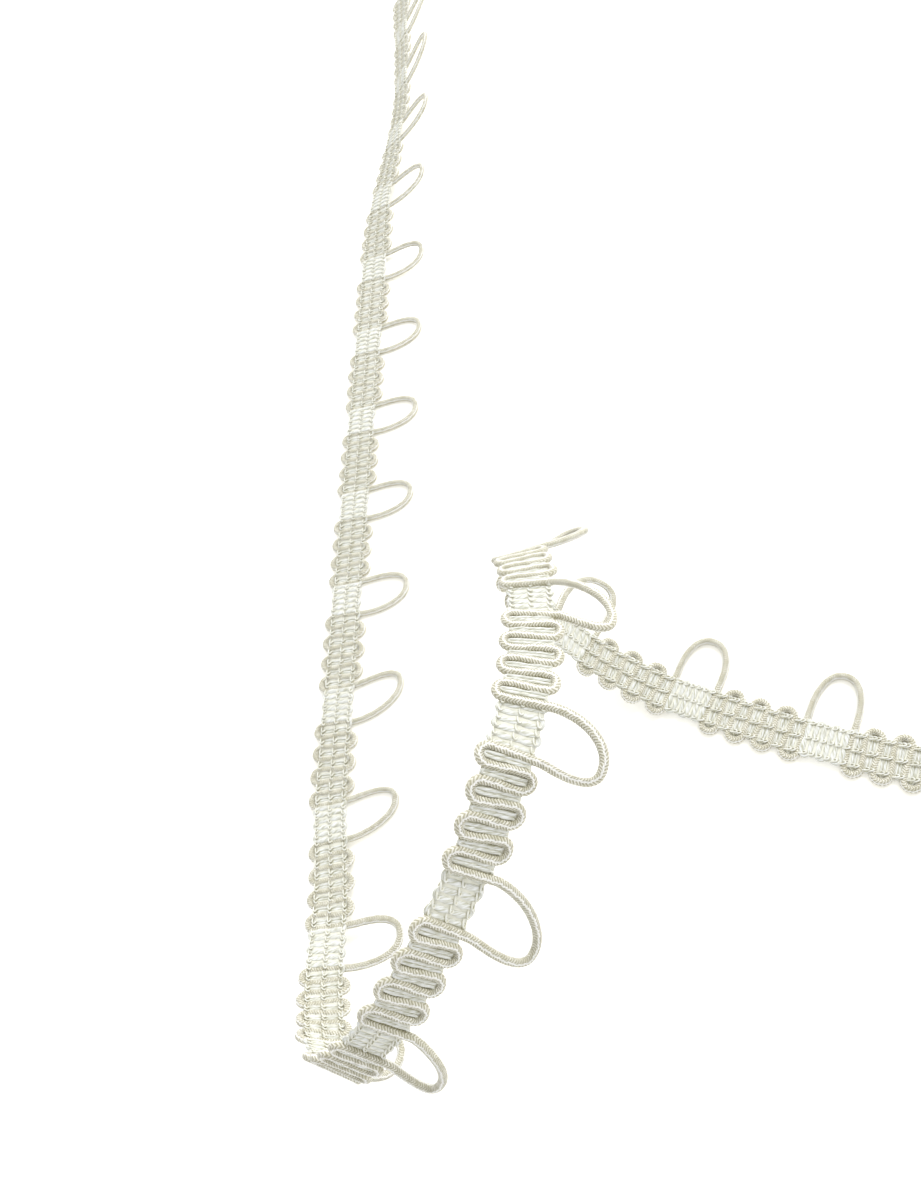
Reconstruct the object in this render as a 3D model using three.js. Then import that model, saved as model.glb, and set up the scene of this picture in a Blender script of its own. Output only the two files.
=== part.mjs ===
// An elastic button loop tape: a narrow knitted ground that carries a thick covered elastic cord, laid to
// and fro across its front and thrown out past one edge as a row of button loops. A cut length lies in
// two open folds: its first and last runs lie flat with the cord underneath, and the run between them
// arches over the surface with the cord on top.
// Millimetres, +Z up. The origin is on the surface, under the middle of the tape's box.

import * as THREE from 'three';

// Driving dimensions, measured on the tape laid flat.
const tapeWidth = 10.4; // over the cord's turns on both edges
const cordWidth = 1.56; // across the cord, in the plane of the tape
const cordThickness = 1.45; // square to the tape
const turnSpacing = 2.62; // along the tape, from a left turn to the next right turn
const turnsPerRepeat = 7;
const loopBay = 11.52; // along the tape, from the last turn before a loop to the first one after it
const loopHalfWidth = 4.9; // at the widest place, on the cord's middle
const loopCount = 21;
const groundWidth = 7.2;
const groundThickness = 1.05; // between the ribs
const ribHeight = 0.4; // of the three chain-stitched ribs on the back
const clearance = 0.3; // between neighbouring pieces

// Sizes that follow from them.
const repeat = (turnsPerRepeat - 1) * turnSpacing + loopBay;
const turnReach = (tapeWidth - cordWidth) / 2; // from the tape's middle to the cord's middle in a turn
const legSpacing = loopBay - turnSpacing; // between a loop's two legs
const rootReach = groundWidth / 2 + clearance; // where a loop leaves the tape's edge
const groundTop = cordThickness / 2 + clearance; // depth of the ground's front face under the cord's middle

// Colours of the ivory yarns.
const cordMaterial = new THREE.MeshStandardMaterial({ color: '#e8e2cf', roughness: 0.75, metalness: 0 });
const groundMaterial = new THREE.MeshStandardMaterial({ color: '#f4f1e6', roughness: 0.9, metalness: 0 });

// The lay of the tape, a row for each stretch. "at" counts repeats of the pattern along the tape, and loop
// number 4 is at 4. x, y and z place the tape's middle line, with z counted up from where it lies flat.
// "turn" is the direction in plan of the edge with the loops, and "lean" is how far that edge points up,
// both in degrees. Where a value is the same in two rows, it holds still between them.
const lay = [
  { at: -0.9, x: 3, y: 346.5, z: 3, turn: -7, lean: 34 },
  { at: 0.6, x: 5.5, y: 305.5, z: 3.4, turn: -10, lean: 40 },
  { at: 1.5, x: 6, y: 281.5, z: 3.3, turn: -16, lean: 36 },
  { at: 2.3, x: 4, y: 260.5, z: 2.8, turn: -16, lean: 28 },
  { at: 3.2, x: 1, y: 236, z: 1.7, turn: -6, lean: 16 },
  { at: 4.4, x: 0, y: 202.5, z: 0, turn: 0, lean: 0 },
  { at: 6, x: 0, y: 157.5, z: 0, turn: 0, lean: 0 },
  { at: 8, x: 0, y: 103, z: 0, turn: 0, lean: 0 },
  { at: 9.6, x: 0, y: 59, z: 0, turn: 2, lean: 0 },
  { at: 10.6, x: 3, y: 32, z: 2.2, turn: 5, lean: -5 },
  { at: 11.4, x: 6.5, y: 11.5, z: 9, turn: 11, lean: -24 },
  { at: 12.2, x: 15.5, y: -2, z: 22.5, turn: -23, lean: -36 },
  { at: 13, x: 30, y: -1, z: 38.5, turn: -15, lean: -40 },
  { at: 13.6, x: 41, y: 8, z: 47, turn: -11, lean: -52 },
  { at: 14.2, x: 50.5, y: 20, z: 53, turn: -8, lean: -50 },
  { at: 14.8, x: 58, y: 33, z: 59.5, turn: 1, lean: -30 },
  { at: 15.5, x: 60.5, y: 51, z: 56, turn: -9, lean: -17 },
  { at: 16.2, x: 58.5, y: 68.5, z: 49.5, turn: 12, lean: -17 },
  { at: 16.9, x: 53.4, y: 81.6, z: 38.2, turn: 18, lean: -10 },
  { at: 17.5, x: 50, y: 82, z: 23, turn: 70, lean: -11 },
  { at: 18.2, x: 59.5, y: 75.5, z: 8, turn: 67, lean: -9 },
  { at: 19, x: 77, y: 66, z: 0, turn: 63, lean: 0 },
  { at: 20, x: 101, y: 54, z: 0, turn: 66, lean: 0 },
  { at: 21.3, x: 133, y: 41.5, z: 0, turn: 68, lean: 0 },
];

// How far each loop's crown reaches from the tape's middle, and how far it leans along the tape. One loop
// is pulled wider than the rest.
const loops = [
  { reach: 14.8, lean: -3.8 },
  { reach: 15.5, lean: -3.4 },
  { reach: 15.6, lean: -2.4 },
  { reach: 15.7, lean: -2.6 },
  { reach: 14.9, lean: -2.1 },
  { reach: 14.8, lean: -1.6 },
  { reach: 15, lean: -1.2 },
  { reach: 14.8, lean: -1.4 },
  { reach: 15, lean: -1.6 },
  { reach: 14.8, lean: -3.8 },
  { reach: 14.7, lean: -2.9 },
  { reach: 14.3, lean: -1.8 },
  { reach: 13.8, lean: -4.7 },
  { reach: 13.7, lean: -5.7 },
  { reach: 16.1, lean: -4.2 },
  { reach: 13.4, lean: -2.8 },
  { reach: 12.7, lean: -5.2 },
  { reach: 13.6, lean: 0.4 },
  { reach: 15.6, lean: 1.4, halfWidth: 5.5 },
  { reach: 13.7, lean: -0.3 },
  { reach: 14.2, lean: 0 },
];

// A smooth curve through one column of the lay. Its slope at a row runs between the neighbouring rows, and
// it is level where the value holds still.
function slopeAtRow(column, i) {
  const before = Math.max(i - 1, 0);
  const after = Math.min(i + 1, lay.length - 1);
  const value = lay[i][column];
  const holdsBefore = i > 0 && lay[i - 1][column] === value;
  const holdsAfter = i < lay.length - 1 && lay[i + 1][column] === value;
  if (holdsBefore || holdsAfter) {
    return 0;
  }
  return (lay[after][column] - lay[before][column]) / (lay[after].at - lay[before].at);
}

function layValue(column, at) {
  let i = 0;
  while (i < lay.length - 2 && at >= lay[i + 1].at) {
    i += 1;
  }
  const span = lay[i + 1].at - lay[i].at;
  const u = (at - lay[i].at) / span;
  const start = lay[i][column] * (2 * u ** 3 - 3 * u ** 2 + 1);
  const end = lay[i + 1][column] * (3 * u ** 2 - 2 * u ** 3);
  const leave = slopeAtRow(column, i) * span * (u ** 3 - 2 * u ** 2 + u);
  const arrive = slopeAtRow(column, i + 1) * span * (u ** 3 - u ** 2);
  return start + end + leave + arrive;
}

function middleLine(along) {
  const at = along / repeat;
  return new THREE.Vector3(layValue('x', at), layValue('y', at), layValue('z', at) + cordThickness / 2);
}

// The tape's own axes at a place along it: "across" points to the edge with the loops, and "front" out of
// the face with the cord. They are kept, because many points share them.
const frames = new Map();

function frameAt(along) {
  const key = along.toFixed(4);
  if (!frames.has(key)) {
    const step = 0.4;
    const at = along / repeat;
    const turn = THREE.MathUtils.degToRad(layValue('turn', at));
    const lean = THREE.MathUtils.degToRad(layValue('lean', at));
    const forward = middleLine(along + step).sub(middleLine(along - step)).normalize();
    const across = new THREE.Vector3(
      Math.cos(turn) * Math.cos(lean),
      Math.sin(turn) * Math.cos(lean),
      Math.sin(lean),
    );
    across.addScaledVector(forward, -across.dot(forward)).normalize();
    const front = new THREE.Vector3().crossVectors(across, forward);
    frames.set(key, { middle: middleLine(along), across, front });
  }
  return frames.get(key);
}

// A point of the flat tape, carried to where it lies: "side" is from the tape's middle towards the loops,
// and "out" is from the cord's middle out of the front.
function laid(along, side, out) {
  const frame = frameAt(along);
  return frame.middle.clone().addScaledVector(frame.across, side).addScaledVector(frame.front, out);
}

// A closed solid through rings of points, with flat ends. Each ring runs the same way round.
function solidFromRings(rings) {
  const count = rings[0].length;
  const positions = rings.flat().flatMap((point) => [point.x, point.y, point.z]);
  const indices = [];
  for (let ring = 0; ring < rings.length - 1; ring += 1) {
    for (let i = 0; i < count; i += 1) {
      const next = (i + 1) % count;
      const a = ring * count + i;
      const b = ring * count + next;
      indices.push(a, b, b + count, a, b + count, a + count);
    }
  }
  const last = (rings.length - 1) * count;
  for (let i = 1; i < count - 1; i += 1) {
    indices.push(0, i + 1, i, last, last + i, last + i + 1);
  }
  const geometry = new THREE.BufferGeometry();
  geometry.setAttribute('position', new THREE.Float32BufferAttribute(positions, 3));
  geometry.setIndex(indices);
  geometry.computeVertexNormals();
  return geometry;
}

// The cord along a route on the flat tape, given by points with "along" and "side". Its section has six
// sides, with two of them flat on the tape's front and back. Corners are mitred.
const cordSides = 6;

function cordAlong(route) {
  const rings = route.map((point, i) => {
    const before = route[Math.max(i - 1, 0)];
    const after = route[Math.min(i + 1, route.length - 1)];
    const inward = new THREE.Vector2(point.along - before.along, point.side - before.side).normalize();
    const outward = new THREE.Vector2(after.along - point.along, after.side - point.side).normalize();
    const heading = inward.clone().add(outward).normalize();
    const mitre = 1 / Math.max(heading.dot(i > 0 ? inward : outward), 0.7);
    const ring = [];
    for (let side = 0; side < cordSides; side += 1) {
      const angle = (-side * 2 * Math.PI) / cordSides;
      const wide = (Math.cos(angle) * cordWidth * mitre) / 2;
      const high = (Math.sin(angle) / Math.sin(Math.PI / 3)) * (cordThickness / 2);
      ring.push(laid(point.along - heading.y * wide, point.side + heading.x * wide, high));
    }
    return ring;
  });
  return solidFromRings(rings);
}

// The cord's turns between loop number "before" and the next loop. Even turns are on the left, away from
// the loops, and odd ones on the right.
function turnPlace(before, turn) {
  return before * repeat + loopBay / 2 + turn * turnSpacing;
}

// A turn is a half circle of three chords, and the cord runs straight across the tape between turns.
function turnPoints(before, turn) {
  const radius = turnSpacing / 2;
  const direction = turn % 2 === 0 ? -1 : 1;
  const centre = turnReach - radius;
  const crown = [-0.5, 0.5].map((part) => ({
    along: turnPlace(before, turn) + part * radius,
    side: direction * turnReach,
  }));
  const starts = { along: turnPlace(before, turn) - radius, side: direction * centre };
  const ends = { along: turnPlace(before, turn) + radius, side: direction * centre };
  return [starts, ...crown, ends];
}

// A stretch of turns from one loop to the next, which starts and ends on a pass across the tape.
function zigzagRoute(before, startSide, endSide) {
  const lastTurn = turnsPerRepeat - 1;
  const route = [{ along: turnPlace(before, 0) - turnSpacing / 2, side: startSide }];
  for (let turn = 0; turn <= lastTurn; turn += 1) {
    route.push(...turnPoints(before, turn));
  }
  route.push({ along: turnPlace(before, lastTurn) + turnSpacing / 2, side: endSide });
  return route;
}

// A loop: half of a rounded square on its two legs, which leans a little along the tape.
const loopSteps = 10;
const loopRoundness = 0.84;

function loopRoute(number) {
  const { reach, lean, halfWidth = loopHalfWidth } = loops[number];
  const height = reach - rootReach;
  const route = [];
  for (let step = 0; step <= loopSteps; step += 1) {
    const angle = Math.PI * (1 - step / loopSteps);
    const rise = Math.sin(angle) ** loopRoundness;
    const spread = Math.sign(Math.cos(angle)) * Math.abs(Math.cos(angle)) ** loopRoundness;
    const legs = legSpacing / 2 + (halfWidth - legSpacing / 2) * Math.min(rise * 3, 1);
    route.push({
      along: number * repeat + spread * legs + lean * rise,
      side: rootReach + height * rise,
    });
  }
  return route;
}

// The ground: a flat knitted strip with three rounded ribs of chain stitch on its back, one along each
// edge and one in the middle.
function groundRing(along) {
  const edge = groundWidth / 2;
  const ribPlace = edge - 0.6;
  const front = -groundTop;
  const back = front - groundThickness;
  const rib = back - ribHeight;
  const section = [
    [-edge, front],
    [edge, front],
    [edge, back + 0.2],
    [ribPlace, rib],
    [ribPlace / 2, back],
    [0, rib],
    [-ribPlace / 2, back],
    [-ribPlace, rib],
    [-edge, back + 0.2],
  ];
  return section.map(([side, out]) => laid(along, side, out));
}

function groundStrip(start, end) {
  const stepsPerRepeat = 8;
  const steps = Math.ceil(((end - start) / repeat) * stepsPerRepeat);
  const rings = [];
  for (let step = 0; step <= steps; step += 1) {
    rings.push(groundRing(start + ((end - start) * step) / steps));
  }
  return solidFromRings(rings);
}

function addPiece(group, name, geometry, material) {
  const piece = new THREE.Mesh(geometry, material);
  piece.name = name;
  group.add(piece);
}

function twoDigits(number) {
  return String(number).padStart(2, '0');
}

function buildTape() {
  const tape = new THREE.Group();
  const cutStart = legSpacing / 2 - repeat;
  const cutEnd = loopCount * repeat - legSpacing / 2;
  const groundPastCord = cordWidth / 2;
  const rootSide = rootReach - clearance;
  addPiece(tape, 'ground', groundStrip(cutStart - groundPastCord, cutEnd + groundPastCord), groundMaterial);
  addPiece(tape, 'cord_start', cordAlong(zigzagRoute(-1, 0, rootSide)), cordMaterial);
  for (let number = 0; number < loopCount; number += 1) {
    const digits = twoDigits(number);
    const endSide = number < loopCount - 1 ? rootSide : 0;
    addPiece(tape, `loop_${digits}`, cordAlong(loopRoute(number)), cordMaterial);
    addPiece(tape, `cord_${digits}`, cordAlong(zigzagRoute(number, rootSide, endSide)), cordMaterial);
  }
  return tape;
}

// The finished tape, with the middle of its box over the origin.
const tape = buildTape();
const box = new THREE.Box3().setFromObject(tape);
const centre = box.getCenter(new THREE.Vector3());
for (const piece of tape.children) {
  piece.geometry.translate(-centre.x, -centre.y, 0);
}

export default tape;
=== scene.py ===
"""An elastic button loop tape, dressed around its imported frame.

The tape is worked out flat, in millimetres, and then carried to where it lies: "along" runs down its
middle, "side" from the middle towards the loops and "out" from the cord's middle out of the front.
"""

import math

import bpy
import numpy as np
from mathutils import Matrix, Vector


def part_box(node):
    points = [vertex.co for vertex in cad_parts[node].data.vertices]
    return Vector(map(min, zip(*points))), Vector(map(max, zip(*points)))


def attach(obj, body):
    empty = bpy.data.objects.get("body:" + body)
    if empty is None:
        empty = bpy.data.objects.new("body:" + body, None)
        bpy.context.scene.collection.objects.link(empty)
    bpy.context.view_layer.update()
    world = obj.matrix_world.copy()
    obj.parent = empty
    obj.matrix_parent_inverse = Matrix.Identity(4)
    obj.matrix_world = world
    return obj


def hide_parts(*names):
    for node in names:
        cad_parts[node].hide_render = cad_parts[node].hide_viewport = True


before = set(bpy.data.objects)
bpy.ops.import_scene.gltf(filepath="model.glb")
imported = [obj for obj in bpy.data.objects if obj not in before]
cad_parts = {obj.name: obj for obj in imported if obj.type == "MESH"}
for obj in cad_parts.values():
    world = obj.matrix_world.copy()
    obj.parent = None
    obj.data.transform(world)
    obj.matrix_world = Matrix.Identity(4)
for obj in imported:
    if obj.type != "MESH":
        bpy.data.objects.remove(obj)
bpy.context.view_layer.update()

MM = 0.001

# Driving sizes of the flat tape, as in the frame.
TAPE_WIDTH = 10.4
CORD_WIDTH = 1.56
CORD_THICKNESS = 1.45
TURN_SPACING = 2.62
TURNS_PER_REPEAT = 7
LOOP_BAY = 11.52
LOOP_HALF_WIDTH = 4.9
LOOP_COUNT = 21
LOOP_ROUNDNESS = 0.84
GROUND_WIDTH = 7.2
GROUND_THICKNESS = 1.05
RIB_HEIGHT = 0.4
RIB_INSET = 0.6
EDGE_BEVEL = 0.2
CLEARANCE = 0.3

REPEAT = (TURNS_PER_REPEAT - 1) * TURN_SPACING + LOOP_BAY
TURN_REACH = (TAPE_WIDTH - CORD_WIDTH) / 2
LEG_SPACING = LOOP_BAY - TURN_SPACING
PASSES_LENGTH = TURNS_PER_REPEAT * TURN_SPACING
ROOT_REACH = GROUND_WIDTH / 2 + CLEARANCE
GROUND_TOP = CORD_THICKNESS / 2 + CLEARANCE
CUT_START = LEG_SPACING / 2 - REPEAT
CUT_END = LOOP_COUNT * REPEAT - LEG_SPACING / 2
GROUND_START = CUT_START - CORD_WIDTH / 2
GROUND_END = CUT_END + CORD_WIDTH / 2

# The lay of the tape: repeats along it, the middle line's x, y and z, the direction in plan of the edge
# with the loops, and how far that edge points up, in degrees.
LAY_COLUMNS = ("at", "x", "y", "z", "turn", "lean")
LAY = (
    (-0.9, 3, 346.5, 3, -7, 34),
    (0.6, 5.5, 305.5, 3.4, -10, 40),
    (1.5, 6, 281.5, 3.3, -16, 36),
    (2.3, 4, 260.5, 2.8, -16, 28),
    (3.2, 1, 236, 1.7, -6, 16),
    (4.4, 0, 202.5, 0, 0, 0),
    (6, 0, 157.5, 0, 0, 0),
    (8, 0, 103, 0, 0, 0),
    (9.6, 0, 59, 0, 2, 0),
    (10.6, 3, 32, 2.2, 5, -5),
    (11.4, 6.5, 11.5, 9, 11, -24),
    (12.2, 15.5, -2, 22.5, -23, -36),
    (13, 30, -1, 38.5, -15, -40),
    (13.6, 41, 8, 47, -11, -52),
    (14.2, 50.5, 20, 53, -8, -50),
    (14.8, 58, 33, 59.5, 1, -30),
    (15.5, 60.5, 51, 56, -9, -17),
    (16.2, 58.5, 68.5, 49.5, 12, -17),
    (16.9, 53.4, 81.6, 38.2, 18, -10),
    (17.5, 50, 82, 23, 70, -11),
    (18.2, 59.5, 75.5, 8, 67, -9),
    (19, 77, 66, 0, 63, 0),
    (20, 101, 54, 0, 66, 0),
    (21.3, 133, 41.5, 0, 68, 0),
)

# How far each loop's crown reaches from the tape's middle, and how far it leans along the tape.
LOOPS = (
    (14.8, -3.8),
    (15.5, -3.4),
    (15.6, -2.4),
    (15.7, -2.6),
    (14.9, -2.1),
    (14.8, -1.6),
    (15, -1.2),
    (14.8, -1.4),
    (15, -1.6),
    (14.8, -3.8),
    (14.7, -2.9),
    (14.3, -1.8),
    (13.8, -4.7),
    (13.7, -5.7),
    (16.1, -4.2),
    (13.4, -2.8),
    (12.7, -5.2),
    (13.6, 0.4),
    (15.6, 1.4),
    (13.7, -0.3),
    (14.2, 0),
)

# One loop is pulled wider than the rest.
WIDER_LOOPS = {18: 5.5}

# The camera, in millimetres from the frame's origin, and its turn about X, Y and Z in degrees.
CAMERA_PLACE = (40.55, -194.57, 196.6)
CAMERA_TURN = (30.93, 19.38, 1.09)
CAMERA_LENS = 32.08
SENSOR = 36.0

FLOOR_HALF_WIDTH = 3.0


def lay_value(name, at):
    """A smooth curve through one column of the lay, level where the value holds still."""
    rows = np.array(LAY, float)
    places = rows[:, 0]
    values = rows[:, LAY_COLUMNS.index(name)]
    before = np.maximum(np.arange(len(rows)) - 1, 0)
    after = np.minimum(np.arange(len(rows)) + 1, len(rows) - 1)
    slopes = (values[after] - values[before]) / (places[after] - places[before])
    still = np.diff(values) == 0
    slopes[:-1][still] = 0
    slopes[1:][still] = 0
    i = np.clip(np.searchsorted(places, at, side="right") - 1, 0, len(rows) - 2)
    span = places[i + 1] - places[i]
    u = (at - places[i]) / span
    start = values[i] * (2 * u**3 - 3 * u**2 + 1)
    end = values[i + 1] * (3 * u**2 - 2 * u**3)
    leave = slopes[i] * span * (u**3 - 2 * u**2 + u)
    arrive = slopes[i + 1] * span * (u**3 - u**2)
    return start + end + leave + arrive


def middle_line(along):
    """The line that the middle of the cord's thickness follows, halfway across the tape."""
    at = along / REPEAT
    height = lay_value("z", at) + CORD_THICKNESS / 2
    return np.stack([lay_value("x", at), lay_value("y", at), height], axis=-1)


def unit(vectors):
    return vectors / np.linalg.norm(vectors, axis=-1, keepdims=True)


def lay_down(flat):
    """Points of the flat tape, each (along, side, out), carried to where it lies, in millimetres."""
    along, side, out = flat[..., 0], flat[..., 1], flat[..., 2]
    step = 0.4
    forward = unit(middle_line(along + step) - middle_line(along - step))
    turn = np.radians(lay_value("turn", along / REPEAT))
    lean = np.radians(lay_value("lean", along / REPEAT))
    plan = [np.cos(turn) * np.cos(lean), np.sin(turn) * np.cos(lean), np.sin(lean)]
    across = np.stack(plan, axis=-1)
    across = unit(across - forward * np.sum(across * forward, axis=-1, keepdims=True))
    front = np.cross(across, forward)
    return middle_line(along) + across * side[..., None] + front * out[..., None]


def frame_shift():
    """From the lay to the frame, in millimetres, read off the ground's corner, which is in both."""
    steps_per_repeat = 8
    steps = math.ceil((GROUND_END - GROUND_START) / REPEAT * steps_per_repeat)
    stations = np.linspace(GROUND_START, GROUND_END, steps + 1)
    edge = GROUND_WIDTH / 2
    back = -GROUND_TOP - GROUND_THICKNESS
    rib = back - RIB_HEIGHT
    rib_place = edge - RIB_INSET
    section = (
        (-edge, -GROUND_TOP),
        (edge, -GROUND_TOP),
        (edge, back + EDGE_BEVEL),
        (rib_place, rib),
        (0, rib),
        (-rib_place, rib),
        (-edge, back + EDGE_BEVEL),
    )
    corners = [(along, side, out) for along in stations for side, out in section]
    lowest = lay_down(np.array(corners, float)).min(axis=0)
    shift = np.array(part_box("ground")[0]) / MM - lowest
    shift[2] = 0
    return shift


SHIFT = frame_shift()


def place(flat):
    """Points of the flat tape as points of the frame, in metres."""
    return (lay_down(flat) + SHIFT) * MM


def uneven(values, seed):
    """A gentle unevenness from -1 to 1 that never repeats, the same in each run."""
    waves = 4
    slowest = 0.6
    faster = 0.55
    rng = np.random.default_rng(seed)
    total = np.zeros_like(values)
    for wave in range(waves):
        rate = (slowest + faster * wave) * rng.uniform(0.85, 1.15)
        total += np.sin(values * rate + rng.uniform(0, 2 * math.pi))
    return total / waves


def make_object(name, mesh, material):
    mesh.materials.append(material)
    piece = bpy.data.objects.new(name, mesh)
    bpy.context.scene.collection.objects.link(piece)
    return piece


def tube_faces(count, sides):
    """The corners of a tube's side faces, four each, and those of its two end caps."""
    ring, side = np.meshgrid(np.arange(count - 1), np.arange(sides), indexing="ij")
    after = (side + 1) % sides
    near = ring * sides
    far = near + sides
    quads = np.stack([near + side, far + side, far + after, near + after], axis=-1)
    caps = np.stack([np.arange(sides), (count - 1) * sides + np.arange(sides)[::-1]])
    return quads.reshape(-1, 4), caps


def tube_map(count, sides, lengths):
    """For each corner of the side faces, the share of the way round and the length along the tube."""
    ring, side = np.meshgrid(np.arange(count - 1), np.arange(sides), indexing="ij")
    around = np.stack([side, side, side + 1, side + 1], axis=-1) / sides
    down = np.stack([lengths[ring], lengths[ring + 1], lengths[ring + 1], lengths[ring]], axis=-1)
    return np.stack([around.ravel(), down.ravel()], axis=1)


def tube_mesh(name, rings, lengths):
    """A closed tube through rings of flat-tape points (ring, side, 3). Its UV map holds the share of
    the way round and the length along it in millimetres."""
    count, sides = rings.shape[:2]
    points = place(rings.reshape(-1, 3))
    quads, caps = tube_faces(count, sides)
    corners = np.concatenate([quads.ravel(), caps.ravel()])
    starts = np.concatenate([np.arange(len(quads)) * 4, quads.size + np.array([0, sides])])
    smooth = np.arange(len(starts)) < len(quads)
    coordinates = np.zeros((len(corners), 2), np.float32)
    coordinates[: quads.size] = tube_map(count, sides, lengths)
    mesh = bpy.data.meshes.new(name)
    mesh.vertices.add(len(points))
    mesh.vertices.foreach_set("co", points.astype(np.float32).ravel())
    mesh.loops.add(len(corners))
    mesh.loops.foreach_set("vertex_index", corners.astype(np.int32))
    mesh.polygons.add(len(starts))
    mesh.polygons.foreach_set("loop_start", starts.astype(np.int32))
    mesh.polygons.foreach_set("use_smooth", smooth)
    layer = mesh.uv_layers.new(name="Yarn")
    layer.data.foreach_set("uv", coordinates.ravel())
    mesh.update(calc_edges=True)
    mesh.validate()
    return mesh


def lengths_of(path):
    """The length along a path at each of its points."""
    steps = np.linalg.norm(np.diff(path, axis=0), axis=1)
    return np.concatenate([[0], np.cumsum(steps)])


def respaced(path, spacing):
    """The same path with points an even distance apart."""
    lengths = lengths_of(path)
    count = int(round(lengths[-1] / spacing))
    wanted = np.linspace(0, lengths[-1], count + 1)
    return np.stack([np.interp(wanted, lengths, path[:, i]) for i in range(3)], axis=1)


def softened(path, reach):
    """The path with its corners rounded over a number of points, and its ends held."""
    window = np.hanning(2 * reach + 3)[1:-1]
    window /= window.sum()
    before = 2 * path[:1] - path[reach:0:-1]
    after = 2 * path[-1:] - path[-2 : -reach - 2 : -1]
    padded = np.concatenate([before, path, after])
    return np.stack([np.convolve(padded[:, i], window, mode="valid") for i in range(3)], axis=1)


def section_axes(path):
    """At each point of a flat-tape path, one direction across it in the tape's plane and one out of it."""
    forward = unit(np.gradient(path, axis=0))
    beside = unit(np.cross(forward, np.array([0.0, 0.0, 1.0])))
    return beside, np.cross(beside, forward)


def swept(path, sides, wide, high):
    """Rings round a path. "wide" and "high" are half sizes, one number or one for each ring and side."""
    angles = 2 * math.pi * np.arange(sides) / sides
    beside, outward = section_axes(path)
    wide = np.broadcast_to(wide, (len(path), sides))[..., None]
    high = np.broadcast_to(high, (len(path), sides))[..., None]
    cosines = np.cos(angles)[None, :, None]
    sines = np.sin(angles)[None, :, None]
    return path[:, None] + beside[:, None] * cosines * wide + outward[:, None] * sines * high


# The cord's route: how much wider than a half circle a turn is, how far a pass swings near a turn, the
# share of that swing left beside a loop's leg, and how uneven the turns are.
TURN_WIDENING = 0.14
PASS_SWING = 0.168
LEG_SWING = 0.3
REACH_UNEVEN = 0.12
SPACING_UNEVEN = 0.08

# How much further the turns reach where the tape lies flat and slack, before and after these loops.
SLACK_REACH = 0.25
SLACK_BEFORE = 10
SLACK_AFTER = 18

# The share of a loop's lean that its legs take, and how steeply the rest follows towards the crown.
LEG_LEAN = 0.05
LEAN_POWER = 1.25

# The route is worked out this finely, and its corners are rounded over this many points.
ROUTE_SPACING = 0.05
CORNER_POINTS = 18


def turn_route(before, turn):
    """One turn of the cord, a little wider than a half circle."""
    number = np.array(before * TURNS_PER_REPEAT + turn, float)
    radius = TURN_SPACING / 2
    direction = -1 if turn % 2 == 0 else 1
    slack = SLACK_REACH if before < SLACK_BEFORE or before >= SLACK_AFTER else 0
    centre = TURN_REACH - radius + slack + REACH_UNEVEN * uneven(number, 3)
    middle = before * REPEAT + LOOP_BAY / 2 + turn * TURN_SPACING + SPACING_UNEVEN * uneven(number, 4)
    angles = np.linspace(-math.pi / 2, math.pi / 2, 25)
    along = middle + np.sin(angles) * (radius + TURN_WIDENING)
    side = direction * (centre + np.cos(angles) * radius)
    return np.stack([along, side, np.zeros_like(along)], axis=1)


def pass_route(start, end, from_turn, to_turn):
    """A pass across the tape, which swings wide near the turns that it joins."""
    share = np.linspace(0, 1, 16)[1:-1]
    line = start + (end - start) * share[:, None]
    wide = PASS_SWING * np.sin(math.pi * share)
    line[:, 0] += wide * np.cos(math.pi * share / 2) ** 2 * from_turn
    line[:, 0] -= wide * np.sin(math.pi * share / 2) ** 2 * to_turn
    return line


def loop_route(number):
    """One loop, from where it leaves the ground's edge to where it meets it again."""
    steps = 60
    reach, lean = LOOPS[number]
    angles = math.pi * (1 - np.arange(1, steps) / steps)
    rise = np.sin(angles) ** LOOP_ROUNDNESS
    spread = np.sign(np.cos(angles)) * np.abs(np.cos(angles)) ** LOOP_ROUNDNESS
    widest = WIDER_LOOPS.get(number, LOOP_HALF_WIDTH)
    half_width = LEG_SPACING / 2 + (widest - LEG_SPACING / 2) * np.sin(rise * math.pi / 2)
    leaning = lean * (LEG_LEAN + (1 - LEG_LEAN) * rise**LEAN_POWER)
    along = number * REPEAT + spread * half_width + leaning
    side = ROOT_REACH + (reach - ROOT_REACH) * rise
    return np.stack([along, side, np.zeros_like(along)], axis=1)


def whole_cord():
    """The cord's route in one run from cut to cut, and where in it each loop begins."""
    parts = [np.array([[CUT_START, 0.0, 0.0]])]
    starts = {}
    for before in range(-1, LOOP_COUNT):
        for turn in range(TURNS_PER_REPEAT):
            bend = turn_route(before, turn)
            swings = (1.0, 1.0) if turn > 0 else (0.0, LEG_SWING)
            parts += [pass_route(parts[-1][-1], bend[0], *swings), bend]
        if before + 1 < LOOP_COUNT:
            loop = loop_route(before + 1)
            starts[before + 1] = loop[0]
            parts += [pass_route(bend[-1], loop[0], LEG_SWING, 0.0), loop]
    parts.append(np.array([[CUT_END, 0.0, 0.0]]))
    route = softened(respaced(np.concatenate(parts), ROUTE_SPACING), CORNER_POINTS)
    places = {}
    for number, point in starts.items():
        places[number] = int(np.argmin(np.linalg.norm(route - point, axis=1)))
    return route, places


# The cord's cover: strands that meet in chevrons along spines, with one spine along the front. Each
# spine sways with the strands and wanders over a longer stretch.
STRAND_PITCH = 0.48
STRAND_SLOPE = 1.1
STRAND_DEPTH = 0.17
SPINES = 3
SPINE_PLACE = 0.25
SPINE_EDGE = 0.7
SPINE_CREST = 0.86
SPINE_WOBBLE = 0.012
SPINE_WANDER = 2.3

# The relief that lies at the cord's own size: grooves are sunk below it.
COVER_LEVEL = 0.8
CORD_UNEVEN = 0.015


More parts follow.
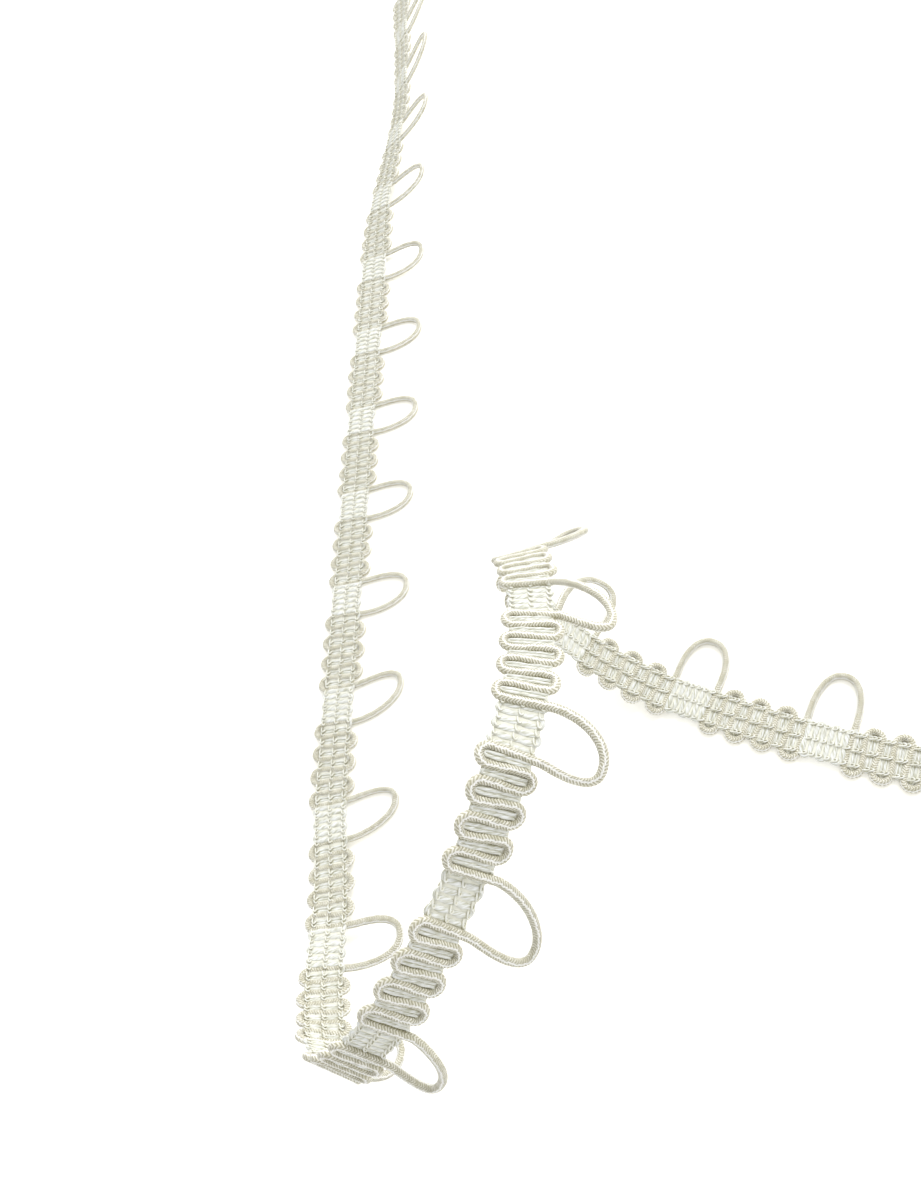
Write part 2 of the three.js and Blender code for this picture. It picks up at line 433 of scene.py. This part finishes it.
def cover_relief(around, length):
    """How proud the cover stands, from 0 in a groove. The shader's bump is the same pattern."""
    sway = np.sin(math.pi * length / STRAND_PITCH) + np.sin(2 * math.pi * length / SPINE_WANDER)
    column = np.mod((around - SPINE_PLACE + SPINE_WOBBLE * sway) * SPINES, 1)
    swing = np.abs(column * 2 - 1)
    strand = 0.5 + 0.5 * np.cos(2 * math.pi * (length / STRAND_PITCH + STRAND_SLOPE * swing))
    spine = np.clip((swing - SPINE_EDGE) / (1 - SPINE_EDGE), 0, 1) ** 2
    return 0.75 * strand * (1 - 0.5 * spine) + 0.45 * spine


def cord_piece(name, route, start, end, spacing, sides, nodes, material):
    """A stretch of the cord between two points of its route, with its cover's strands in relief."""
    lengths = lengths_of(route)
    path = respaced(route[start : end + 1], spacing)
    down = lengths[start] + lengths_of(path)
    around = np.arange(sides) / sides
    relief = (cover_relief(around[None, :], down[:, None]) - COVER_LEVEL) * STRAND_DEPTH
    swell = 1 + CORD_UNEVEN * uneven(down * 0.4, 6)[:, None]
    wide = CORD_WIDTH / 2 * swell + relief
    high = CORD_THICKNESS / 2 * swell + relief
    mesh = tube_mesh(name, swept(path, sides, wide, high), down)
    piece = make_object(name, mesh, material)
    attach(piece, "root")
    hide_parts(*nodes)
    return piece


# The ground's courses: two inside each turn of the cord, this far to either side of its middle, and
# more in a bay, with a margin to the nearest turns. None lies right at a cut end.
COURSE_OFFSET = 0.32
BAY_COURSES = 6
BAY_MARGIN = 2.2
END_MARGIN = 0.5

# How far behind the cord's middle the ground's middle layer runs. It meets the passes inside the cord,
# whose back shows between the courses.
UNDER_PASS = 0.35
BETWEEN_PASSES = -0.04
IN_BAY = 0.55
PASS_SPREAD = 0.72
BAY_BLEND = 0.8

# Inside each turn the ground reaches further out. This starts past a distance from the tape's middle.
TURN_FILL = 0.35
FILL_START = 2.2
FILL_BLEND = 0.7
FILL_SPREAD = 0.8


def course_places():
    """Where each course of the ground lies: two between two passes of the cord, and more in a bay."""
    places = []
    for before in range(-1, LOOP_COUNT):
        first = before * REPEAT + LOOP_BAY / 2
        for turn in range(TURNS_PER_REPEAT):
            middle = first + turn * TURN_SPACING
            places += [middle - COURSE_OFFSET, middle + COURSE_OFFSET]
        last = first + (TURNS_PER_REPEAT - 1) * TURN_SPACING
        places += list(np.linspace(last + BAY_MARGIN, last + LOOP_BAY - BAY_MARGIN, BAY_COURSES))
    places = np.array(places)
    return places[(places > GROUND_START + END_MARGIN) & (places < GROUND_END - END_MARGIN)]


def past_first_pass(along):
    """How far a place is past the first of the passes between two loops."""
    return np.mod(along - LEG_SPACING / 2, REPEAT)


def pass_nearness(along):
    """1 behind the middle of a pass of the cord, and 0 half way between two passes and in a bare bay."""
    within = past_first_pass(along)
    nearest = np.clip(np.round(within / TURN_SPACING), 0, TURNS_PER_REPEAT) * TURN_SPACING
    apart = np.abs(within - nearest)
    apart_in_bay = np.minimum(within - PASSES_LENGTH, REPEAT - within)
    apart = np.where(within > PASSES_LENGTH, apart_in_bay, apart)
    return np.exp(-((apart / PASS_SPREAD) ** 2))


def crowding(along):
    """1 where the cord runs to and fro, and 0 in a bare bay."""
    within = past_first_pass(along)
    after_bay = np.clip(within / BAY_BLEND, 0, 1)
    before_bay = np.clip((PASSES_LENGTH - within) / BAY_BLEND, 0, 1)
    return after_bay * before_bay


def turn_fill(along, side):
    """How much further the ground reaches, towards an edge, inside the turns of the cord at that edge."""
    within = past_first_pass(along)
    number = np.floor(within / TURN_SPACING)
    turn_side = np.where(number % 2 == 0, -1, 1)
    inside = (number < TURNS_PER_REPEAT) & (turn_side == np.sign(side))
    apart = within - (number + 0.5) * TURN_SPACING
    near_edge = np.clip((np.abs(side) - FILL_START) / FILL_BLEND, 0, 1)
    return TURN_FILL * np.sign(side) * near_edge * inside * np.exp(-((apart / FILL_SPREAD) ** 2))


def ground_middle(along):
    """The height of the ground's middle layer, which dips behind each pass of the cord."""
    high = IN_BAY + (BETWEEN_PASSES - IN_BAY) * crowding(along)
    return -(high + (UNDER_PASS - high) * pass_nearness(along))


def wale_middle_height(along):
    """The wales are tighter than the weft, and follow the passes less."""
    return 0.5 * ground_middle(along) - 0.5 * IN_BAY - 0.05 * crowding(along)


# The weft: a three-ply yarn, squeezed narrower between the cord's passes.
WEFT_REACH = 2.9
WEFT_TURN = 0.8
WEFT_WIDE = 0.58
WEFT_HIGH = 0.36
WEFT_PLIES = 3
WEFT_TWIST = 2.1
WEFT_LOBES = 0.06
WEFT_SQUEEZE = 0.36

# The wales: where the outer two lie, and the stitches that they are made of.
WALE_PLACE = 3.05
WALE_YARN = 0.16
STITCH_HALF_WIDTH = 0.34
STITCH_REACH = 0.6
STITCH_DEPTH = 0.42
STITCH_STEEPNESS = 2.2

# The web of fine inlaid yarns, which ends a little before the ground's cut ends.
WEB_WIDTH = 6.8
WEB_THICKNESS = 0.24
WEB_SPACING = 0.7
WEB_INSET = 0.3


def weft_path():
    """The bulky weft: one pass for each course, with a small round turn past each edge."""
    courses = course_places()
    radii = np.gradient(courses) / 2
    angles = np.linspace(-math.pi / 2, math.pi / 2, 8)[1:-1]
    parts = []
    for number, along in enumerate(courses):
        direction = 1 if number % 2 else -1
        side = np.linspace(-WEFT_REACH, WEFT_REACH, 10) * direction
        parts.append(np.stack([np.full_like(side, along), side], axis=1))
        if number + 1 < len(courses):
            gap = courses[number + 1] - along
            turn_along = along + gap / 2 + np.sin(angles) * gap / 2
            turn_side = direction * (WEFT_REACH + np.cos(angles) * radii[number] * WEFT_TURN)
            parts.append(np.stack([turn_along, turn_side], axis=1))
    flat = np.concatenate(parts)
    sway = 0.07 * uneven(flat[:, 1] * 1.3 + flat[:, 0] * 2.1, 9)
    side = flat[:, 1] + turn_fill(flat[:, 0], flat[:, 1])
    out = ground_middle(flat[:, 0]) + 0.05 * uneven(flat[:, 0] * 1.7 + flat[:, 1], 10)
    return np.stack([flat[:, 0] + sway, side, out], axis=1)


def weft_piece(material):
    """The weft is a soft bulky yarn, pinched where the wales hold it and puffed up between them."""
    sides = 12
    path = weft_path()
    down = lengths_of(path)
    angles = 2 * math.pi * np.arange(sides) / sides
    between = 0.5 - 0.5 * np.cos(2 * math.pi * path[:, 1] / WALE_PLACE)
    free = np.where(np.abs(path[:, 1]) > WALE_PLACE, 0, between)
    puff = 0.8 + 0.26 * free + 0.07 * uneven(down * 0.9, 11)
    twist = 2 * math.pi * down / WEFT_TWIST
    lobes = 1 + WEFT_LOBES * np.cos(WEFT_PLIES * angles[None, :] + twist[:, None])
    squeezed = 1 - WEFT_SQUEEZE * crowding(path[:, 0])
    wide = WEFT_WIDE * (puff * squeezed)[:, None] * lobes
    high = WEFT_HIGH * puff[:, None] * lobes
    mesh = tube_mesh("weft", swept(path, sides, wide, high), down)
    piece = make_object("weft", mesh, material)
    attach(piece, "root")
    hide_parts("ground")
    return piece


def wale_path(side, seed):
    """A wale of chain stitches, one to a course: each loop reaches on over the next one on the back."""
    courses = course_places()
    points_per_stitch = 14
    turns = np.arange(0, len(courses) - 1, 1 / points_per_stitch)
    angles = 2 * math.pi * turns
    middle = np.interp(turns, np.arange(len(courses)), courses)
    pitch = np.interp(turns, np.arange(len(courses) - 1) + 0.5, np.diff(courses))
    along = middle + STITCH_REACH * pitch * np.cos(angles)
    swing = STITCH_HALF_WIDTH * (1 + 0.15 * uneven(turns * 0.8, seed))
    across = side + swing * np.sin(angles) + 0.05 * uneven(turns * 0.5, seed + 1)
    weave = np.tanh(STITCH_STEEPNESS * np.cos(angles)) / math.tanh(STITCH_STEEPNESS)
    out = wale_middle_height(middle) - STITCH_DEPTH * weave
    return np.stack([along, across, out], axis=1)


def wale_piece(name, side, seed, material):
    sides = 7
    path = wale_path(side, seed)
    mesh = tube_mesh(name, swept(path, sides, WALE_YARN, WALE_YARN), lengths_of(path))
    piece = make_object(name, mesh, material)
    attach(piece, "root")
    return piece


def web_piece(material):
    """The fine inlaid yarns that close the ground between its courses, as one thin soft sheet."""
    steps = int((GROUND_END - GROUND_START) / WEB_SPACING)
    along = np.linspace(GROUND_START + WEB_INSET, GROUND_END - WEB_INSET, steps)
    half = WEB_WIDTH / 2
    sides = np.linspace(-half, half, 8)
    section = [(side, 1) for side in sides] + [(side, -1) for side in sides[::-1]]
    rings = []
    for side, face in section:
        bulge = 0.5 * WEB_THICKNESS * (1 - 0.55 * (abs(side) / half) ** 4)
        ripple = 0.05 * uneven(along * 2.3 + side * 3.1, 14 + face)
        out = ground_middle(along) + face * bulge + ripple
        reach = side + turn_fill(along, np.full_like(along, side))
        rings.append(np.stack([along, reach, out], axis=1))
    mesh = tube_mesh("ground_web", np.stack(rings, axis=1)[:, ::-1], along)
    piece = make_object("ground_web", mesh, material)
    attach(piece, "root")
    return piece


# The painted shade in creases: the colour is made darker and more olive where other surfaces are near.
PAINTED_CREASE_SHADE = (0.74, 0.7, 0.5)

# Painted shade in the grooves between the cord's strands.
COVER_GROOVE_SHADE = (0.36, 0.33, 0.19)
COVER_DULL = (0.74, 0.725, 0.62)
COVER_LIGHT = (0.98, 0.97, 0.9)
# Painted highlight along the cord's spines.
COVER_SPINE_HIGHLIGHT = (1.0, 1.0, 0.98)
WEFT_LIGHT = (0.79, 0.805, 0.8)
# Painted shade in the crevices between the weft's filaments.
WEFT_CREVICE_SHADE = (0.47, 0.47, 0.37)
WALE_LIGHT = (0.82, 0.83, 0.8)
# Painted shade in the crevices between the wale's filaments.
WALE_CREVICE_SHADE = (0.64, 0.635, 0.53)
WEB_DARK = (0.64, 0.635, 0.52)
WEB_LIGHT = (0.83, 0.83, 0.77)
FLOOR_COLOUR = (0.93, 0.92, 0.88, 1)
FLOOR_GLOW = (1, 1, 0.98, 1)


class Nodes:
    """A short way to write a material's nodes."""

    def __init__(self, name):
        self.material = bpy.data.materials.new(name)
        self.material.use_nodes = True
        self.tree = self.material.node_tree
        self.shader = self.tree.nodes["Principled BSDF"]

    def add(self, kind, **values):
        node = self.tree.nodes.new(kind)
        for key, value in values.items():
            setattr(node, key, value)
        return node

    def join(self, output, socket):
        self.tree.links.new(output, socket)

    def feed(self, value, socket):
        """Sets a socket to a number or a colour, or joins another node's output to it."""
        if isinstance(value, tuple):
            socket.default_value = (*value, 1)
        elif isinstance(value, (int, float)):
            socket.default_value = value
        else:
            self.join(value, socket)

    def math(self, operation, *values):
        node = self.add("ShaderNodeMath", operation=operation)
        for value, socket in zip(values, node.inputs):
            self.feed(value, socket)
        return node.outputs[0]

    def mix(self, factor, first, second, blend="MIX"):
        node = self.add("ShaderNodeMix", data_type="RGBA", blend_type=blend)
        colours = [socket for socket in node.inputs if socket.type == "RGBA"]
        self.feed(factor, node.inputs["Factor"])
        self.feed(first, colours[0])
        self.feed(second, colours[1])
        return [socket for socket in node.outputs if socket.type == "RGBA"][0]

    def noise(self, scale, detail=3.0, at=None):
        """Noise from 0 to 1 over the piece, or over other coordinates."""
        if at is None:
            at = self.add("ShaderNodeTexCoord").outputs["Object"]
        node = self.add("ShaderNodeTexNoise")
        node.inputs["Scale"].default_value = scale
        node.inputs["Detail"].default_value = detail
        self.join(at, node.inputs["Vector"])
        return node.outputs["Fac"]

    def ramp(self, value, low, high):
        """0 up to the low value, 1 from the high one, and even between them."""
        node = self.add("ShaderNodeMapRange")
        node.inputs["From Min"].default_value = low
        node.inputs["From Max"].default_value = high
        self.join(value, node.inputs["Value"])
        return node.outputs["Result"]

    def streaks(self, around, length, count):
        """Uneven streaks that run along a yarn, from 0 to 1, with "count" or so of them round it."""
        at = self.add("ShaderNodeCombineXYZ")
        self.join(self.math("MULTIPLY", around, float(count)), at.inputs[0])
        self.join(self.math("MULTIPLY", length, 0.6), at.inputs[1])
        return self.ramp(self.noise(1.0, 2.0, at.outputs[0]), 0.34, 0.6)

    def with_painted_crease_shade(self, colour, distance, low, high):
        """A colour with painted shade in its creases: darker and more olive where other surfaces are near.
        """
        node = self.add("ShaderNodeAmbientOcclusion", samples=6)
        node.inputs["Distance"].default_value = distance
        openness = self.ramp(node.outputs["AO"], low, high)
        return self.mix(openness, self.mix(1.0, colour, PAINTED_CREASE_SHADE, "MULTIPLY"), colour)

    def bump(self, height, strength, distance, under=None):
        node = self.add("ShaderNodeBump")
        node.inputs["Strength"].default_value = strength
        node.inputs["Distance"].default_value = distance
        self.join(height, node.inputs["Height"])
        if under is not None:
            self.join(under, node.inputs["Normal"])
        return node.outputs["Normal"]

    def yarn_place(self):
        """The share of the way round a tube, and the length along it in millimetres."""
        source = self.add("ShaderNodeUVMap", uv_map="Yarn")
        split = self.add("ShaderNodeSeparateXYZ")
        self.join(source.outputs["UV"], split.inputs[0])
        return split.outputs["X"], split.outputs["Y"]


def finish_yarn(nodes, colour, normal, roughness, sheen):
    shader = nodes.shader
    nodes.join(colour, shader.inputs["Base Color"])
    nodes.join(normal, shader.inputs["Normal"])
    shader.inputs["Roughness"].default_value = roughness
    shader.inputs["Sheen Weight"].default_value = sheen
    shader.inputs["Sheen Roughness"].default_value = 0.4
    shader.inputs["Specular IOR Level"].default_value = 0.35
    return nodes.material


def cord_material():
    """The braided cover of the cord: lustrous strands that meet in chevrons along spines, with a painted
    highlight along each spine.
    """
    nodes = Nodes("cord_cover")
    around, length = nodes.yarn_place()
    twist = nodes.math("SINE", nodes.math("MULTIPLY", length, math.pi / STRAND_PITCH))
    wander = nodes.math("SINE", nodes.math("MULTIPLY", length, 2 * math.pi / SPINE_WANDER))
    moved = nodes.math("MULTIPLY_ADD", nodes.math("ADD", twist, wander), SPINE_WOBBLE, around)
    column = nodes.math("FRACT", nodes.math("MULTIPLY_ADD", moved, float(SPINES), 1 - SPINE_PLACE * SPINES))
    swing = nodes.math("ABSOLUTE", nodes.math("MULTIPLY_ADD", column, 2.0, -1.0))
    turns = nodes.math("DIVIDE", length, STRAND_PITCH)
    phase = nodes.math("FRACT", nodes.math("MULTIPLY_ADD", swing, STRAND_SLOPE, turns))
    strand = nodes.math("ABSOLUTE", nodes.math("MULTIPLY_ADD", phase, 2.0, -1.0))
    spine = nodes.ramp(swing, SPINE_EDGE, SPINE_CREST)
    sideways = nodes.math("FRACT", nodes.math("ADD", column, 0.5))
    rope = nodes.math("FRACT", nodes.math("MULTIPLY_ADD", sideways, 3.0, turns))
    plies = nodes.math("ABSOLUTE", nodes.math("MULTIPLY_ADD", rope, 2.0, -1.0))
    # The spines' mask, broken by the plies: it sets the painted highlight and also raises the spines in the
    # bump.
    spine_ridge_and_highlight = nodes.math("MULTIPLY", spine, nodes.math("MULTIPLY_ADD", plies, 0.7, 0.45))
    body = nodes.mix(nodes.ramp(nodes.noise(900.0, 2.0), 0.35, 0.65), COVER_DULL, COVER_LIGHT)
    # Painted shade: the grooves between the strands are made darker and olive.
    shaded = nodes.mix(nodes.math("POWER", strand, 0.8), COVER_GROOVE_SHADE, body)
    # Painted highlight: the spines are made near white.
    lit = nodes.mix(spine_ridge_and_highlight, shaded, COVER_SPINE_HIGHLIGHT)
    # Painted shade: darker and more olive in creases, where other surfaces are near.
    colour = nodes.with_painted_crease_shade(lit, 1.6 * MM, 0.1, 0.8)
    strands = nodes.bump(nodes.math("MULTIPLY_ADD", spine_ridge_and_highlight, 0.6, strand), 1.0, 0.12 * MM)
    fibres = nodes.bump(nodes.noise(9000.0, 2.0), 0.2, 0.02 * MM, strands)
    return finish_yarn(nodes, colour, fibres, 0.45, 0.3)


def yarn_material(name, light, crevice_shade, twist, strands):
    """A soft yarn of many filaments, which run along it with a slight twist, with painted shade in the
    crevices between them.
    """
    nodes = Nodes(name)
    around, length = nodes.yarn_place()
    turned = nodes.math("MULTIPLY_ADD", length, 1 / twist, around)
    # The streaks set where the painted shade between the filaments goes, and the filaments' bump.
    streak = nodes.streaks(turned, length, strands)
    tone = nodes.mix(nodes.noise(420.0), light, tuple(0.94 * value for value in light))
    # Painted shade: darker and more olive in creases, where other surfaces are near.
    colour = nodes.with_painted_crease_shade(nodes.mix(streak, crevice_shade, tone), 0.7 * MM, 0.25, 0.85)
    filaments = nodes.bump(streak, 0.5, 0.05 * MM)
    fibres = nodes.bump(nodes.noise(6000.0, 3.0), 0.3, 0.03 * MM, filaments)
    return finish_yarn(nodes, colour, fibres, 0.7, 0.4)


def web_material():
    """Fine yarns too thin to tell apart, as a soft mottled surface."""
    nodes = Nodes("ground_web")
    colour = nodes.mix(nodes.noise(1500.0, 4.0), WEB_DARK, WEB_LIGHT)
    normal = nodes.bump(nodes.noise(3000.0, 4.0), 0.6, 0.08 * MM)
    return finish_yarn(nodes, colour, normal, 0.85, 0.3)


def make_floor():
    nodes = Nodes("floor")
    nodes.shader.inputs["Base Color"].default_value = FLOOR_COLOUR
    nodes.shader.inputs["Roughness"].default_value = 0.9
    nodes.shader.inputs["Specular IOR Level"].default_value = 0.1
    nodes.shader.inputs["Emission Color"].default_value = FLOOR_GLOW
    nodes.shader.inputs["Emission Strength"].default_value = 0.3
    half = FLOOR_HALF_WIDTH
    mesh = bpy.data.meshes.new("floor")
    corners = [(-half, -half, 0), (half, -half, 0), (half, half, 0), (-half, half, 0)]
    mesh.from_pydata(corners, [], [(0, 1, 2, 3)])
    floor = make_object("floor", mesh, nodes.material)


def add_light(name, direction, distance, size, power, colour):
    """A round softbox that shines on the frame's origin from a direction, in metres and watts."""
    data = bpy.data.lights.new(name, "AREA")
    data.shape = "DISK"
    data.size = size
    data.energy = power
    data.color = colour
    light = bpy.data.objects.new(name, data)
    bpy.context.scene.collection.objects.link(light)
    towards = Vector(direction).normalized()
    light.location = towards * distance
    light.rotation_mode = "QUATERNION"
    light.rotation_quaternion = (-towards).to_track_quat("-Z", "Y")


def make_light():
    world = bpy.data.worlds.new("studio")
    bpy.context.scene.world = world
    world.use_nodes = True
    background = world.node_tree.nodes["Background"]
    background.inputs["Color"].default_value = (1.0, 1.0, 1.0, 1)
    background.inputs["Strength"].default_value = 0.9
    add_light("key", (0.5, 0.35, 0.8), 0.9, 0.4, 3.8, (1.0, 1.0, 0.98))
    add_light("back", (-0.1, 1.0, 0.6), 1.1, 0.9, 6.0, (1.0, 1.0, 1.0))
    bpy.context.scene.view_settings.view_transform = "Standard"


def make_camera():
    data = bpy.data.cameras.new("camera")
    data.lens = CAMERA_LENS
    data.sensor_width = SENSOR
    data.clip_start = 0.01
    data.clip_end = 20
    camera = bpy.data.objects.new("camera", data)
    bpy.context.scene.collection.objects.link(camera)
    camera.location = [value * MM for value in CAMERA_PLACE]
    camera.rotation_euler = [math.radians(value) for value in CAMERA_TURN]
    bpy.context.scene.camera = camera


# How finely each stretch of the cord is drawn, by how near it lies: ring spacing and sides of a ring.
FAR_CORD = (0.21, 12)
MIDDLE_CORD = (0.14, 18)
NEAR_CORD = (0.105, 24)


def cord_nodes(first, last):
    """The frame's solids of the cord from one loop to another, each with the turns that follow it."""
    numbers = range(first, last + 1)
    return [f"loop_{i:02d}" for i in numbers] + [f"cord_{i:02d}" for i in numbers]


def make_cord():
    cover = cord_material()
    route, starts = whole_cord()
    end = len(route) - 1
    left = cord_nodes(0, 11) + ["cord_start"]
    cord_piece("cord_left_run", route, 0, starts[12], *FAR_CORD, left, cover)
    cord_piece("cord_raised_run", route, starts[12], starts[15], *NEAR_CORD, cord_nodes(12, 14), cover)
    cord_piece("cord_top_run", route, starts[15], starts[18], *NEAR_CORD, cord_nodes(15, 17), cover)
    cord_piece("cord_right_run", route, starts[18], end, *MIDDLE_CORD, cord_nodes(18, 20), cover)


def make_ground():
    weft = yarn_material("weft_yarn", WEFT_LIGHT, WEFT_CREVICE_SHADE, twist=7.0, strands=11)
    wale = yarn_material("wale_yarn", WALE_LIGHT, WALE_CREVICE_SHADE, twist=2.5, strands=6)
    weft_piece(weft)
    wale_piece("wale_left", -WALE_PLACE, 21, wale)
    wale_piece("wale_middle", 0.0, 31, wale)
    wale_piece("wale_right", WALE_PLACE, 41, wale)
    web = web_piece(web_material())


make_camera()
make_floor()
make_light()
make_cord()
make_ground()
